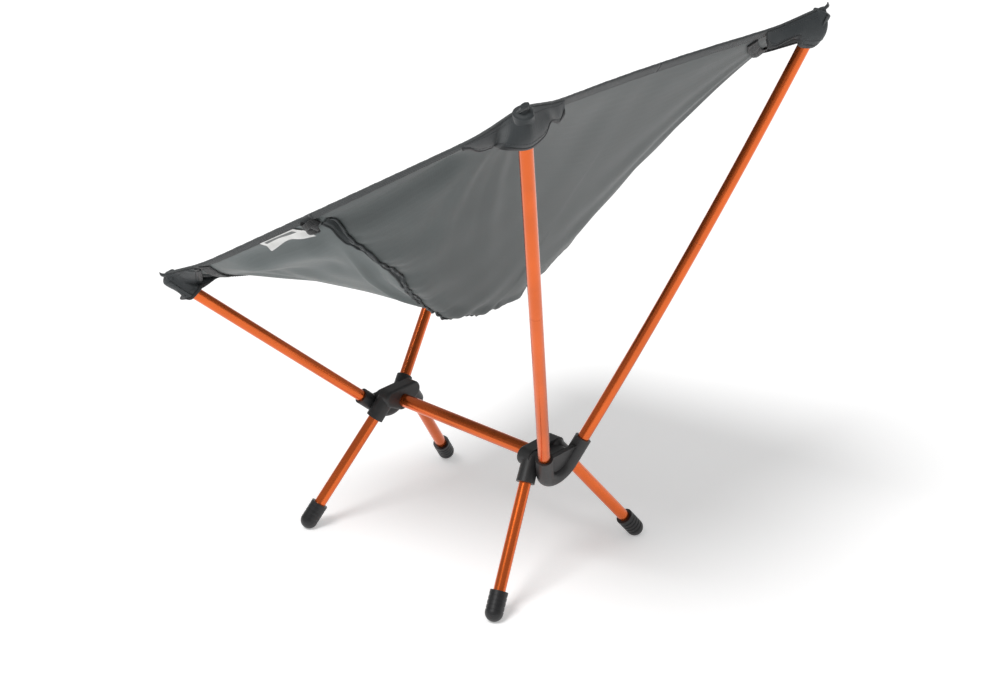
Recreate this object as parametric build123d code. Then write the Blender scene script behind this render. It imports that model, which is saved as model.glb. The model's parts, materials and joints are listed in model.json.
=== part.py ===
from build123d import *
import math
import os

# Ultralight backpacking chair: two moulded hubs on a spine tube, four legs that pull out of the
# hubs on elastic cord, four uprights, and a fabric sling whose corner pockets slip over the
# uprights' tips.  Millimetres, +Z up, the sitter faces -Y and has +X on the left hand.
# The origin is on the floor under the middle of the chair's bounding box.

# ---- driving dimensions ----------------------------------------------------------------------
SPINE_MID_Y = -44.55       # the spine's middle lies this far in front of the origin
POLE_OD = 13.2             # legs and uprights
POLE_ID = 11.4
SPINE_OD = 15.5
SPINE_ID = 13.5
SPINE_Z = 135.0            # height of the spine's axis
SPINE_DEPTH = 18.0         # how far the spine goes into a hub
SOCKET_DEPTH = 28.0        # how far a pole goes into a hub
RUNNING = 0.08             # radial clearance of a tube in a socket or on a ferrule
CORD_R = 1.5               # elastic cord
CORD_HOLE_R = 1.75
CORD_ANCHOR = 7.0          # length of cord held in the hub behind each socket
SPINE_CORD_ANCHOR = 2.0
END_GAP = 0.4              # between a tube's end and the floor of its bore
FOOT_R = 9.9               # rubber foot
FOOT_LENGTH = 33.0
FOOT_FLAT = 0.6            # the domed foot is worn flat by this much where it meets the floor
GROOVES = 4
GROOVE_STEP = 5.0
GROOVE_WIDTH = 1.2
GROOVE_DEPTH = 0.5
CORD_IN_LEG = 78.0         # hub-side cord inside the leg, measured from the leg's inner end

BOSS_MOUTH_R = 10.2        # outside of a leg socket at its mouth
BOSS_ROOT_R = 9.6
CORE_FOOT_R = 10.2         # hub core around a leg socket's root
CORE_ROUNDING = 3.0
SPINE_COLLAR_R = 12.0      # hub wall around the spine
NECK_R = 10.4              # the neck between a hub's core and its arm
NECK_HALF_WIDTH = 13.0
ARM_R = 9.3                # outside of the curved arm that holds two uprights
ARM_BEND_R = 22.0
WEB = 4.4                  # thickness of the web inside the arm
WEB_BELOW_MOUTH = 5.0

POCKET_DEPTH = 35.0        # fabric cup over an upright's tip
POCKET_MOUTH_R = 16.0      # inside radii
POCKET_END_R = 8.6
POCKET_WALL = 1.6
POCKET_TRAVEL = 42.0       # how far a pocket slips to come off its pole
POCKET_GAP = 0.5
TIP_CAP_HEIGHT = 4.0
TIP_STEM = 10.0
TIP_STEM_R = 5.3           # a running fit in the pole's curved end
TIP_SHOULDER = 1.5
TIP_DOME = 2.4             # how much the cap narrows to its tip

FABRIC = 1.2               # plain solid thickness of the sling's panels
TRIM = 1.4
SEAM_V = 0.45              # where the seat panel meets the back panel, from front 0 to top 1
BINDING_R = 3.2


def place(x, y, z):
    """A point given across, fore-aft from the spine's middle, and up."""
    return Vector(x, y + SPINE_MID_Y, z)


class ChairEnd:
    """The left-hand pole positions at one end of the spine (front or rear)."""

    def __init__(self, facing, hub_face, leg_exit, foot, upright_exit, tip, bow):
        self.facing = facing                     # -1 at the front, +1 at the rear
        self.hub_face = hub_face                 # from the spine's middle to the hub's face
        self.leg_exit = place(*leg_exit)
        self.foot = place(*foot, FOOT_R - FOOT_FLAT)
        self.upright_exit = place(*upright_exit)
        self.tip = place(*tip)
        self.bow = bow                           # how far the upright bulges outwards
        self.leg_dir = (self.foot - self.leg_exit).normalized()
        chord = self.tip - self.upright_exit
        along = chord.normalized()
        outwards = Vector(1, facing, 0)
        sideways = (outwards - along * outwards.dot(along)).normalized()
        slope = 4 * bow / chord.length
        self.upright_dir = (along + sideways * slope).normalized()
        self.tip_dir = (along - sideways * slope).normalized()


FRONT = ChairEnd(-1, 93.0, (33.3, -109.1, 119.8), (114.5, -138.5), (35.4, -127.2, 142.7),
                 (235.0, -197.3, 330.1), 0.0)
REAR = ChairEnd(1, 104.0, (36.3, 123.0, 119.4), (119.6, 152.4), (32.4, 146.1, 154.9),
                (225.3, 286.4, 602.1), 4.5)
FERRULE_AT = 246.0         # the rear upright's joint, measured from its socket's mouth
FERRULE_LENGTH = 60.0
FERRULE_OD = POLE_ID - 2 * RUNNING
FERRULE_ID = 8.6

# The sling's centreline is a cubic Bezier curve, as (fore-aft, up), from front hem to top edge.
CENTRELINE = [(-166.5, 306.8), (153.3, 336.1), (-55.0, 148.6), (256.9, 594.0)]


# ---- general shapes --------------------------------------------------------------------------
def rod(start, end, radius):
    """A solid cylinder between two points."""
    run = end - start
    plane = Plane(origin=start, z_dir=run)
    return plane * Cylinder(radius, run.length, align=(Align.CENTER, Align.CENTER, Align.MIN))


def taper(start, end, start_radius, end_radius):
    run = end - start
    plane = Plane(origin=start, z_dir=run)
    align = (Align.CENTER, Align.CENTER, Align.MIN)
    return plane * Cone(start_radius, end_radius, run.length, align=align)


def ball(centre, radius):
    return Pos(centre) * Sphere(radius)


def pipe(start, end, outer, inner):
    """A tube between two points; the bore runs through both ends."""
    run = (end - start).normalized()
    return rod(start, end, outer) - rod(start - run, end + run, inner)


def follow(path, radius, inner=0.0):
    """Sweep a disc or a ring along a path."""
    section = Circle(radius)
    if inner > 0:
        section = section - Circle(inner)
    plane = Plane(origin=path @ 0, z_dir=path % 0)
    return sweep(plane * section, path=path)


def mirrored(shape):
    return shape.mirror(Plane.YZ)


# ---- poles -----------------------------------------------------------------------------------
def upright_path(end, start_at, stop_at):
    """The upright's axis between two distances measured from its socket's mouth."""
    if end.bow == 0:
        return Line(end.upright_exit + end.upright_dir * start_at,
                    end.upright_exit + end.upright_dir * stop_at)
    arc = TangentArc(end.upright_exit, end.tip, tangent=end.upright_dir)
    if start_at < 0:
        inner = Line(end.upright_exit + end.upright_dir * start_at, end.upright_exit)
        outer = arc.trim(0, stop_at / arc.length)
        return Wire([inner, outer])
    return arc.trim(start_at / arc.length, stop_at / arc.length)


def upright_length(end):
    """From the socket's mouth to the tip of the end cap."""
    if end.bow == 0:
        return (end.tip - end.upright_exit).length
    return TangentArc(end.upright_exit, end.tip, tangent=end.upright_dir).length


def upright_tube(end, start_at, stop_at):
    return follow(upright_path(end, start_at, stop_at), POLE_OD / 2, POLE_ID / 2)


def upright_cord(end):
    start_at = -SOCKET_DEPTH - CORD_ANCHOR
    stop_at = upright_length(end) - TIP_CAP_HEIGHT - TIP_STEM
    return follow(upright_path(end, start_at, stop_at), CORD_R)


def tip_cap(end):
    """A domed plug with a stem that presses into the upright's open end."""
    seat = end.tip - end.tip_dir * TIP_CAP_HEIGHT
    shoulder = rod(seat, seat + end.tip_dir * TIP_SHOULDER, POLE_OD / 2)
    dome = taper(seat + end.tip_dir * TIP_SHOULDER, end.tip, POLE_OD / 2, POLE_OD / 2 - TIP_DOME)
    stem = rod(seat - end.tip_dir * TIP_STEM, seat, TIP_STEM_R)
    return shoulder + dome + stem


def leg_points(end):
    """The leg tube's inner end, and its outer end inside the foot."""
    inner = end.leg_exit - end.leg_dir * (SOCKET_DEPTH - END_GAP)
    outer = end.foot - end.leg_dir * 3.0
    return inner, outer


def leg_tube(end):
    inner, outer = leg_points(end)
    return pipe(inner, outer, POLE_OD / 2, POLE_ID / 2)


def foot(end):
    """A rubber cup over the leg's end, with four grip grooves and a domed base worn flat."""
    top = end.foot - end.leg_dir * (FOOT_LENGTH - FOOT_R)
    _, outer = leg_points(end)
    body = rod(top, end.foot, FOOT_R) + ball(end.foot, FOOT_R)
    for count in range(1, GROOVES + 1):
        at = top + end.leg_dir * (GROOVE_STEP * count)
        body = body - pipe(at, at + end.leg_dir * GROOVE_WIDTH, FOOT_R + 1, FOOT_R - GROOVE_DEPTH)
    body = body - rod(top - end.leg_dir, outer, POLE_OD / 2)
    floor = Pos(end.foot.X, end.foot.Y, -FOOT_R) * Box(60, 60, 2 * FOOT_R)
    return body - floor


def leg_cord(end):
    """The cord from its anchor in the hub to where it runs on inside the leg."""
    start = end.leg_exit - end.leg_dir * (SOCKET_DEPTH + CORD_ANCHOR)
    stop = end.leg_exit + end.leg_dir * (CORD_IN_LEG - SOCKET_DEPTH)
    return rod(start, stop, CORD_R)


def leg_cord_end(end):
    """The rest of the cord, with the knot and washer that hold it in the leg's outer end."""
    _, outer = leg_points(end)
    start = end.leg_exit + end.leg_dir * (CORD_IN_LEG - SOCKET_DEPTH + 0.5)
    knot = outer - end.leg_dir * 4.5
    cord = rod(start, knot, CORD_R)
    washer = rod(knot - end.leg_dir * 4.5, knot - end.leg_dir * 3.2, POLE_ID / 2 - RUNNING)
    return cord + ball(knot, 3.4) + washer


def spine_point(end, depth):
    """A point on the spine's axis, the given depth inside a hub."""
    return place(0, end.facing * (end.hub_face + depth), SPINE_Z)


def spine_tube():
    depth = SPINE_DEPTH - END_GAP
    return pipe(spine_point(FRONT, depth), spine_point(REAR, depth), SPINE_OD / 2, SPINE_ID / 2)


def spine_cord():
    depth = SPINE_DEPTH + SPINE_CORD_ANCHOR
    return rod(spine_point(FRONT, depth), spine_point(REAR, depth), CORD_R)


def rear_ferrule():
    """The sleeve inside the rear upright that joins its lower and upper tubes."""
    half = FERRULE_LENGTH / 2
    path = upright_path(REAR, FERRULE_AT - half, FERRULE_AT + half)
    return follow(path, FERRULE_OD / 2, FERRULE_ID / 2)


# ---- hubs ------------------------------------------------------------------------------------
def web_height(end, z):
    """Where the plane of the two uprights lies, fore and aft, at a given height."""
    rise = (z - end.upright_exit.Z) / end.upright_dir.Z
    return end.upright_exit.Y + end.upright_dir.Y * rise


def slab(centres, radii, start_y, stop_y, rounding):
    """An upright slab whose outline wraps circles at (x, z), mirrored left to right."""
    ring = ShapeList()
    for (x, z), radius in zip(centres, radii):
        for side in (-1, 1):
            ring += (Pos(side * x, z) * Circle(radius)).edges()
    plane = Plane(origin=(0, start_y, 0), x_dir=(1, 0, 0), z_dir=(0, -1, 0))
    block = extrude(plane * make_hull(ring), amount=start_y - stop_y)
    outer_face = block.faces().sort_by(Axis.Y)[0 if start_y < stop_y else -1]
    return fillet(outer_face.edges(), rounding) if rounding > 0 else block


def hub_core(end):
    """The body around the spine's end and the leg sockets' roots, and the neck to the arm."""
    root = end.leg_exit - end.leg_dir * SOCKET_DEPTH
    face_y = spine_point(end, 0).Y
    centres = [(root.X, root.Z), (0.1, SPINE_Z)]
    core = slab(centres, [CORE_FOOT_R, SPINE_COLLAR_R], face_y, root.Y + end.facing * 4,
                CORE_ROUNDING)
    neck_end = web_height(end, SPINE_Z - NECK_R) - end.facing
    neck = slab([(NECK_HALF_WIDTH, SPINE_Z)], [NECK_R], root.Y, neck_end, 0)
    return core + neck


def hub_arm(end):
    """The U-shaped arm that carries both uprights, with the thin web between its sides."""
    apex = end.upright_exit - end.upright_dir * (end.upright_exit.X / end.upright_dir.X)
    left = end.upright_exit
    right = Vector(-left.X, left.Y, left.Z)
    arm = follow(FilletPolyline(left, apex, right, radius=ARM_BEND_R), ARM_R)
    web_left = left - end.upright_dir * WEB_BELOW_MOUTH
    web_right = Vector(-web_left.X, web_left.Y, web_left.Z)
    curve = FilletPolyline(web_left, apex, web_right, radius=ARM_BEND_R)
    face = make_face(curve.edges() + [Line(web_right, web_left).edge()]).face()
    return arm + Solid.thicken(face, WEB / 2) + Solid.thicken(face, -WEB / 2)


def hub(end):
    body = hub_core(end) + hub_arm(end)
    root = end.leg_exit - end.leg_dir * SOCKET_DEPTH
    boss = taper(end.leg_exit, root, BOSS_MOUTH_R, BOSS_ROOT_R) + ball(root, BOSS_ROOT_R)
    body = body + boss + mirrored(boss)
    for side in (1, -1):
        body = body - socket(end.leg_exit, end.leg_dir, side)
        body = body - socket(end.upright_exit, end.upright_dir, side)
    bore_floor = spine_point(end, SPINE_DEPTH)
    body = body - rod(spine_point(end, -15), bore_floor, SPINE_OD / 2 + RUNNING)
    return body - rod(bore_floor, spine_point(end, SPINE_DEPTH + SPINE_CORD_ANCHOR + 0.5),
                      CORD_HOLE_R)


def socket(mouth, direction, side):
    """A blind bore for a pole, and the small hole behind it that anchors the cord."""
    bore = rod(mouth - direction * SOCKET_DEPTH, mouth + direction * 30, POLE_OD / 2 + RUNNING)
    root = mouth - direction * (SOCKET_DEPTH + CORD_ANCHOR + END_GAP)
    hole = rod(root, mouth - direction * SOCKET_DEPTH, CORD_HOLE_R)
    both = bore + hole
    return both if side == 1 else mirrored(both)


# ---- sling -----------------------------------------------------------------------------------
def centreline(v):
    """The Bezier centreline at v, from 0 at the front hem to 1 at the top edge."""
    weights = [(1 - v) ** 3, 3 * v * (1 - v) ** 2, 3 * v ** 2 * (1 - v), v ** 3]
    y = sum(w * p[0] for w, p in zip(weights, CENTRELINE))
    z = sum(w * p[1] for w, p in zip(weights, CENTRELINE))
    return place(0, y, z)


def sling_point(u, v, offset=0.0):
    """A point of the sling: u runs from -1 at the right edge to 1 at the left, v from the front
    hem to the top edge.  Offset is measured outwards, away from the sitter."""
    edge = FRONT.tip + (REAR.tip - FRONT.tip) * v
    sag = 1 - u * u
    middle = centreline(v)
    point = Vector(edge.X * u, edge.Y + (middle.Y - edge.Y) * sag, edge.Z + (middle.Z - edge.Z) * sag)
    if offset == 0:
        return point
    step = 1e-3
    across = sling_point(u + step, v) - sling_point(u - step, v)
    up = sling_point(u, v + step) - sling_point(u, v - step)
    return point + up.cross(across).normalized() * offset


def sheet(corners, offset, thickness, across=9, along=9):
    """A thin solid on the sling between four (u, v) corners, taken in order around the patch."""
    (a, b, c, d) = corners
    rows = []
    for j in range(along):
        t = j / (along - 1)
        row = []
        for i in range(across):
            s = i / (across - 1)
            low = [a[n] * (1 - s) + b[n] * s for n in (0, 1)]
            high = [d[n] * (1 - s) + c[n] * s for n in (0, 1)]
            u, v = [low[n] * (1 - t) + high[n] * t for n in (0, 1)]
            row.append(sling_point(u, v, offset))
        rows.append(row)
    face = Face.make_surface_from_array_of_points(rows)
    middle_u = sum(p[0] for p in corners) / 4
    middle_v = sum(p[1] for p in corners) / 4
    outwards = sling_point(middle_u, middle_v, 1.0) - sling_point(middle_u, middle_v)
    return Solid.thicken(face, thickness, normal_override=outwards)


def band(v_low, v_high, offset, thickness):
    """A strip that runs right across the sling."""
    corners = [(-1, v_low), (1, v_low), (1, v_high), (-1, v_high)]
    return sheet(corners, offset, thickness, across=17)


def edge_curve(v):
    """The sling's front or top edge, from the right corner to the left."""
    points = [sling_point(-1 + 2 * i / 12, v) for i in range(13)]
    return Spline(points)


def corner_room(end, spare=POCKET_GAP):
    """The space that a pocket needs as it comes off its tip."""
    start = end.tip - end.tip_dir * (POCKET_DEPTH + spare)
    stop = end.tip + end.tip_dir * (POCKET_TRAVEL + 20)
    return rod(start, stop, POCKET_MOUTH_R + POCKET_WALL + spare)


def clear_corners(shape):
    for end in (FRONT, REAR):
        room = corner_room(end)
        shape = shape - room - mirrored(room)
    return shape


def side_binding():
    return clear_corners(rod(FRONT.tip, REAR.tip, BINDING_R))


def end_binding(v):
    return clear_corners(follow(edge_curve(v), BINDING_R))


def without_edges(panel):
    """Trim a panel where the bindings and the pockets take over."""
    overrun = (REAR.tip - FRONT.tip).normalized() * 20
    side = rod(FRONT.tip - overrun, REAR.tip + overrun, BINDING_R)
    panel = panel - side - mirrored(side)
    return clear_corners(panel)


def pocket(end):
    """A fabric cup over the upright's tip, open towards the pole."""
    closed = end.tip + end.tip_dir * POCKET_GAP
    mouth = end.tip - end.tip_dir * POCKET_DEPTH
    outer = taper(mouth, closed + end.tip_dir * POCKET_WALL,
                  POCKET_MOUTH_R + POCKET_WALL, POCKET_END_R + POCKET_WALL)
    inner = taper(mouth - end.tip_dir * 0.01, closed, POCKET_MOUTH_R, POCKET_END_R)
    return outer - inner


def corner_webbing(end):
    """A stitched strap across the sling's corner, below the pocket."""
    if end is REAR:
        corners = [(0.97, 0.885), (0.97, 0.905), (0.80, 0.985), (0.775, 0.985)]
    else:
        corners = [(0.97, 0.095), (0.97, 0.115), (0.775, 0.02), (0.80, 0.02)]
    return sheet(corners, FABRIC + 0.25, TRIM, across=5)


def care_label():
    corners = [(0.965, 0.30), (0.965, 0.41), (0.86, 0.41), (0.86, 0.30)]
    return sheet(corners, FABRIC + 1.2, 0.6, across=5, along=5)


def seam_anchor():
    corners = [(0.965, 0.432), (0.965, 0.468), (0.90, 0.462), (0.90, 0.438)]
    return sheet(corners, FABRIC + TRIM + 0.5, 2.0, across=5, along=5)


# ---- writing the pieces ----------------------------------------------------------------------
def write(name, shape):
    solids = shape.solids()
    export_step(Compound(solids) if len(solids) > 1 else solids[0], f"parts/{name}.step")


def write_pair(name, shape):
    """The left-hand piece and its mirror image."""
    write(f"{name}_left", shape)
    write(f"{name}_right", mirrored(shape))


def main():
    os.makedirs("parts", exist_ok=True)
    write("spine_tube", spine_tube())
    write("spine_cord", spine_cord())
    for label, end in (("front", FRONT), ("rear", REAR)):
        write(f"{label}_hub", hub(end))
        write_pair(f"{label}_leg_tube", leg_tube(end))
        write_pair(f"{label}_foot", foot(end))
        write_pair(f"{label}_leg_cord", leg_cord(end))
        write_pair(f"{label}_leg_cord_end", leg_cord_end(end))
        write_pair(f"{label}_upright_cord", upright_cord(end))
        write_pair(f"{label}_tip_cap", tip_cap(end))
        write_pair(f"{label}_pocket", pocket(end))
        write_pair(f"{label}_corner_webbing", corner_webbing(end))
    front_stop = upright_length(FRONT) - TIP_CAP_HEIGHT
    rear_stop = upright_length(REAR) - TIP_CAP_HEIGHT
    inner_end = END_GAP - SOCKET_DEPTH
    write_pair("front_upright", upright_tube(FRONT, inner_end, front_stop))
    write_pair("rear_upright_lower", upright_tube(REAR, inner_end, FERRULE_AT))
    write_pair("rear_upright_upper", upright_tube(REAR, FERRULE_AT + 0.2, rear_stop))
    write_pair("rear_ferrule", rear_ferrule())

    seat = sheet([(-1, 0), (1, 0), (1, SEAM_V - 0.001), (-1, SEAM_V - 0.001)], 0, FABRIC, 17, 13)
    back = sheet([(-1, SEAM_V + 0.001), (1, SEAM_V + 0.001), (1, 1), (-1, 1)], 0, FABRIC, 17, 13)
    hem = end_binding(0)
    top = end_binding(1)
    write("front_hem", hem)
    write("top_binding", top)
    write("seat_panel", without_edges(seat) - follow(edge_curve(0), BINDING_R))
    write("back_panel", without_edges(back) - follow(edge_curve(1), BINDING_R))
    write("seam_tape", without_edges(band(SEAM_V - 0.012, SEAM_V + 0.012, FABRIC + 0.15, TRIM)))
    write_pair("side_binding", side_binding())
    write_pair("seam_anchor", seam_anchor())
    write("care_label", care_label())
    for label, end in (("front", FRONT), ("rear", REAR)):
        print(label, "leg axis", [round(n, 5) for n in end.leg_dir])
        print(label, "pocket axis", [round(n, 5) for n in end.tip_dir])


main()
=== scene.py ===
import json
import math
import random

import bmesh
import bpy
import numpy as np
from mathutils import Matrix, Vector


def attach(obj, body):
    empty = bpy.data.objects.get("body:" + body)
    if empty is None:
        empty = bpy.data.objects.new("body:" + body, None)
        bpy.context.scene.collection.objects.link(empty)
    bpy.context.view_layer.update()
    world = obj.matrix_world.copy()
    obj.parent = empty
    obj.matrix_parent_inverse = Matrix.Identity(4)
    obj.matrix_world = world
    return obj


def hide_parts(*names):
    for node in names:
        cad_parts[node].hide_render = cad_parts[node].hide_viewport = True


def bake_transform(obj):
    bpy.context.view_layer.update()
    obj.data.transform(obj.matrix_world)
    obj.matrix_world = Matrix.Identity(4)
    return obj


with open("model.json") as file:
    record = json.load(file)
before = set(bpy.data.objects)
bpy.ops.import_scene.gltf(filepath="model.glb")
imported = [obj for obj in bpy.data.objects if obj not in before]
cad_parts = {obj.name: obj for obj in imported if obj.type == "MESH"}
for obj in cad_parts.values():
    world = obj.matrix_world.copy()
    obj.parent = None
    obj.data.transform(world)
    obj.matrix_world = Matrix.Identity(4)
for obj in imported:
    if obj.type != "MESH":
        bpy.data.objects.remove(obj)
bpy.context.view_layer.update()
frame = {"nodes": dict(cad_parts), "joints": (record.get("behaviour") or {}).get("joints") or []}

# Looks for the ultralight backpacking chair.  Metres, +Z up, the sitter faces -Y, +X is left.

# ---- the sling's driving sizes, as in the frame's source --------------------------------------
SPINE_MID_Y = -0.04455
FRONT_TIP = np.array([0.2350, -0.1973 + SPINE_MID_Y, 0.3301])
REAR_TIP = np.array([0.2253, 0.2864 + SPINE_MID_Y, 0.6021])
CENTRELINE = np.array([(-0.1665, 0.3068), (0.1533, 0.3361), (-0.0550, 0.1486), (0.2569, 0.5940)])
SEAM_V = 0.45
CLOTH = 0.0007             # thickness of one layer
TRIM = 0.0011              # thickness of tape and webbing
LIFT = 0.009               # how far the sling's corners reach past the upright tips
LIFT_SPREAD = 0.042
SEAM_BOW = 0.095           # the seam's bow towards the back, as a share of the sling's length
SEAM_BOW_AT = 0.68         # where across the seat the bow is greatest, and how wide it is
SEAM_BOW_WIDTH = 0.22
SEAM_TAPE_HALF = 0.0115    # half of the tape's width, as a share of the sling's length
PUCKER = 0.0034            # height of the puckers just behind the seam
FOLD = 0.0066              # height of the folds that fan out of them
SLACK_ROLL = 0.0062        # the loose roll beside the seat's side edges
EDGE_VALLEY = 0.0105       # the hollow just inside the side bindings
CREASE = 0.0026            # the sharp crease across the seat panel
PANEL_COLUMNS = 99         # points across one half of a panel
ARC_HALF = 0.29            # half of the sling's width along the seam
SIDE_LENGTH = float(np.linalg.norm(REAR_TIP - FRONT_TIP))
AXES = {j["name"]: np.array(j["axis"], float) for j in frame["joints"]}


class Corner:
    """One end's left-hand corner of the sling: its tip, the pole's direction and the patch's shape.

    Wing points are (distance along the edge from the corner, distance in from the edge, height
    over the cloth).  Cup points are measured from the upright's tip: down the pole, towards the
    side edge, and away from the sitter."""

    def __init__(self, end, side_wing, cup, end_wing, swell, strap):
        self.end = end
        rear = end == "rear"
        self.tip = REAR_TIP if rear else FRONT_TIP
        self.up = unit(AXES[f"{end}_pocket_left_slip"])
        self.v = 1.0 if rear else 0.0
        self.inwards = -1.0 if rear else 1.0       # the way v changes as it leaves this corner
        self.side_wing = side_wing
        self.cup = cup
        self.end_wing = end_wing
        self.swell = swell                         # how far the patch bulges between its edges
        self.strap = strap                         # where the strap meets the side and end edges


def unit(a):
    """A vector, or an array of vectors, at unit length."""
    a = np.asarray(a, float)
    return a / np.linalg.norm(a, axis=-1, keepdims=True)


FRONT = Corner("front",
               [(0.046, 0.003, 0.0016), (0.040, 0.008, 0.0018), (0.036, 0.013, 0.002)],
               [(0.030, 0.007, -0.012), (0.030, 0.0088, -0.0035), (0.028, 0.002, 0.0084),
                (0.025, -0.0035, 0.0096), (0.028, -0.014, 0.004)],
               [(0.046, 0.014, 0.002), (0.056, 0.004, 0.0016)],
               [0, 0.001, 0.002, 0.003, 0.004, 0.005, 0.005, 0.004, 0.001, 0],
               (0.051, 0.056))
REAR = Corner("rear",
              [(0.082, 0.003, 0.0016), (0.0735, 0.007, 0.002), (0.065, 0.020, 0.002),
               (0.050, 0.028, 0.003)],
              [(0.0225, 0.0238, 0.0032), (0.0285, 0.002, 0.0088), (0.0325, -0.0180, -0.001),
               (0.0265, -0.0285, -0.008)],
              [(0.0640, 0.006, 0.0130), (0.0725, 0.003, 0.0080)],
              [0, 0.001, 0.002, 0.003, 0.006, 0.007, 0.006, 0.004, 0.002, 0],
              (0.050, 0.082))


# ---- the sling's surface ----------------------------------------------------------------------
def centreline(v):
    """The sling's middle line (fore-aft, up), a cubic Bezier curve."""
    weights = np.stack([(1 - v) ** 3, 3 * v * (1 - v) ** 2, 3 * v ** 2 * (1 - v), v ** 3], -1)
    yz = weights @ CENTRELINE
    return yz[..., 0] + SPINE_MID_Y, yz[..., 1]


def plain_sling(u, v):
    """The smooth sling: u from -1 at the right edge to 1 at the left, v from front to top."""
    u, v = np.broadcast_arrays(np.asarray(u, float), np.asarray(v, float))
    edge = FRONT_TIP + (REAR_TIP - FRONT_TIP) * v[..., None]
    middle_y, middle_z = centreline(v)
    sag = 1 - u * u
    y = edge[..., 1] + (middle_y - edge[..., 1]) * sag
    z = edge[..., 2] + (middle_z - edge[..., 2]) * sag
    points = np.stack([edge[..., 0] * u, y, z], -1)
    for corner in (FRONT, REAR):
        for side in (1, -1):
            flip = np.array([side, 1, 1])
            away = np.linalg.norm(points - corner.tip * flip, axis=-1)
            share = np.exp(-((away / LIFT_SPREAD) ** 2))
            points = points + share[..., None] * corner.up * flip * LIFT
    return points


def outwards(u, v):
    """The unit normal on the floor side of the sling."""
    step = 2e-3
    across = plain_sling(u + step, v) - plain_sling(u - step, v)
    along = plain_sling(u, v + step) - plain_sling(u, v - step)
    return unit(np.cross(along, across))


def bump(x, centre, width):
    """A smooth hump of height 1 at the centre."""
    return np.exp(-(((x - centre) / width) ** 2))


def smooth(x, low, high):
    """0 below low, 1 above high, with an eased ramp between."""
    t = np.clip((x - low) / (high - low), 0, 1)
    return t * t * (3 - 2 * t)


def fold_waves(x, seed, lengths):
    """A sum of sine waves with seeded phases, from about -1 to 1."""
    dice = random.Random(seed)
    total = 0
    for length in lengths:
        total = total + np.sin(2 * math.pi * x / length + dice.uniform(0, 6.28)) * dice.uniform(0.6, 1)
    return total / len(lengths)


def seam_line(u):
    """Where the cross seam lies: it bows towards the back on both sides of the seat."""
    return SEAM_V - 0.007 + SEAM_BOW * bump(np.abs(u), SEAM_BOW_AT, SEAM_BOW_WIDTH)


def relief(u, v):
    """How far the real cloth stands off the smooth sling, towards the floor: gathers at the seam,
    folds that fan out of them, the slack roll beside each edge, and pull lines from the corners."""
    u, v = np.broadcast_arrays(np.asarray(u, float), np.asarray(v, float))
    middle = 1 - u * u
    past_seam = (v - seam_line(u)) * (SIDE_LENGTH + 0.18 * middle)
    across = u * ARC_HALF
    from_side = (1 - np.abs(u)) * ARC_HALF
    inside = smooth(from_side, 0.012, 0.05)
    behind = past_seam >= 0

    puckers = fold_waves(across + 0.15 * past_seam, 3, (0.0125, 0.0093, 0.0171, 0.0218))
    depth = np.where(behind, PUCKER * np.exp(-np.abs(past_seam) / 0.026),
                     0.0010 * np.exp(-np.abs(past_seam) / 0.010))
    height = puckers * depth * inside

    drift = across + 0.25 * past_seam * np.sign(u)
    folds = fold_waves(drift, 11, (0.046, 0.071, 0.118))
    reach = np.where(behind, np.exp(-np.abs(past_seam) / 0.085), 0.35 * np.exp(past_seam / 0.05))
    height = height + FOLD * folds * reach * inside

    height = height + 0.0055 * bump(past_seam, 0.035, 0.034) * middle * behind
    crease = (v - 0.395 - 0.062 * smooth(np.abs(u), 0.5, 0.9)) * (SIDE_LENGTH + 0.18 * middle)
    across_seat = smooth(middle, 0.15, 0.5)
    height = height + CREASE * bump(crease, 0, 0.0055) * across_seat
    height = height - 0.0060 * bump(crease, 0.024, 0.020) * across_seat * (1 - behind)
    height = height - 0.0012 * bump(past_seam, 0, 0.005)

    beside = smooth(v, 0.07, 0.20) * (1 - smooth(v, 0.36, 0.43))
    height = height + SLACK_ROLL * bump(from_side, 0.034, 0.013) * beside
    height = height - 0.0045 * bump(from_side, 0.062, 0.012) * beside
    lip = smooth(v, 0.16, 0.24) * (1 - smooth(v, 0.80, 0.90)) * np.where(behind, 1, 0.6)
    height = height - EDGE_VALLEY * bump(from_side, 0.020, 0.011) * lip

    for corner_v, seed in ((0, 21), (1, 35)):
        along = np.abs(v - corner_v) * SIDE_LENGTH
        distance = np.hypot(along, from_side)
        angle = np.arctan2(from_side, along + 1e-6)
        rays = fold_waves(angle, seed, (0.33, 0.21, 0.52))
        fade = smooth(distance, 0.04, 0.12) * (1 - smooth(distance, 0.17, 0.34))
        height = height + 0.0021 * rays * fade * inside

    loose = fold_waves(across + 0.6 * v, 51, (0.13, 0.21)) * fold_waves(v - 0.4 * u, 52, (0.23, 0.41))
    height = height + 0.0016 * loose * inside
    ends = smooth(v, 0.0, 0.03) * (1 - smooth(v, 0.97, 1.0))
    return height * ends


def cloth(u, v, offset=0.0):
    """A point of the real sling, offset towards the floor from the panels' middle."""
    u, v = np.broadcast_arrays(np.asarray(u, float), np.asarray(v, float))
    return plain_sling(u, v) + outwards(u, v) * (relief(u, v) + offset)[..., None]


def mirror(points, side):
    """Points on the left side, or their mirror image when side is -1."""
    return np.asarray(points) * np.array([side, 1, 1])


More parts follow.
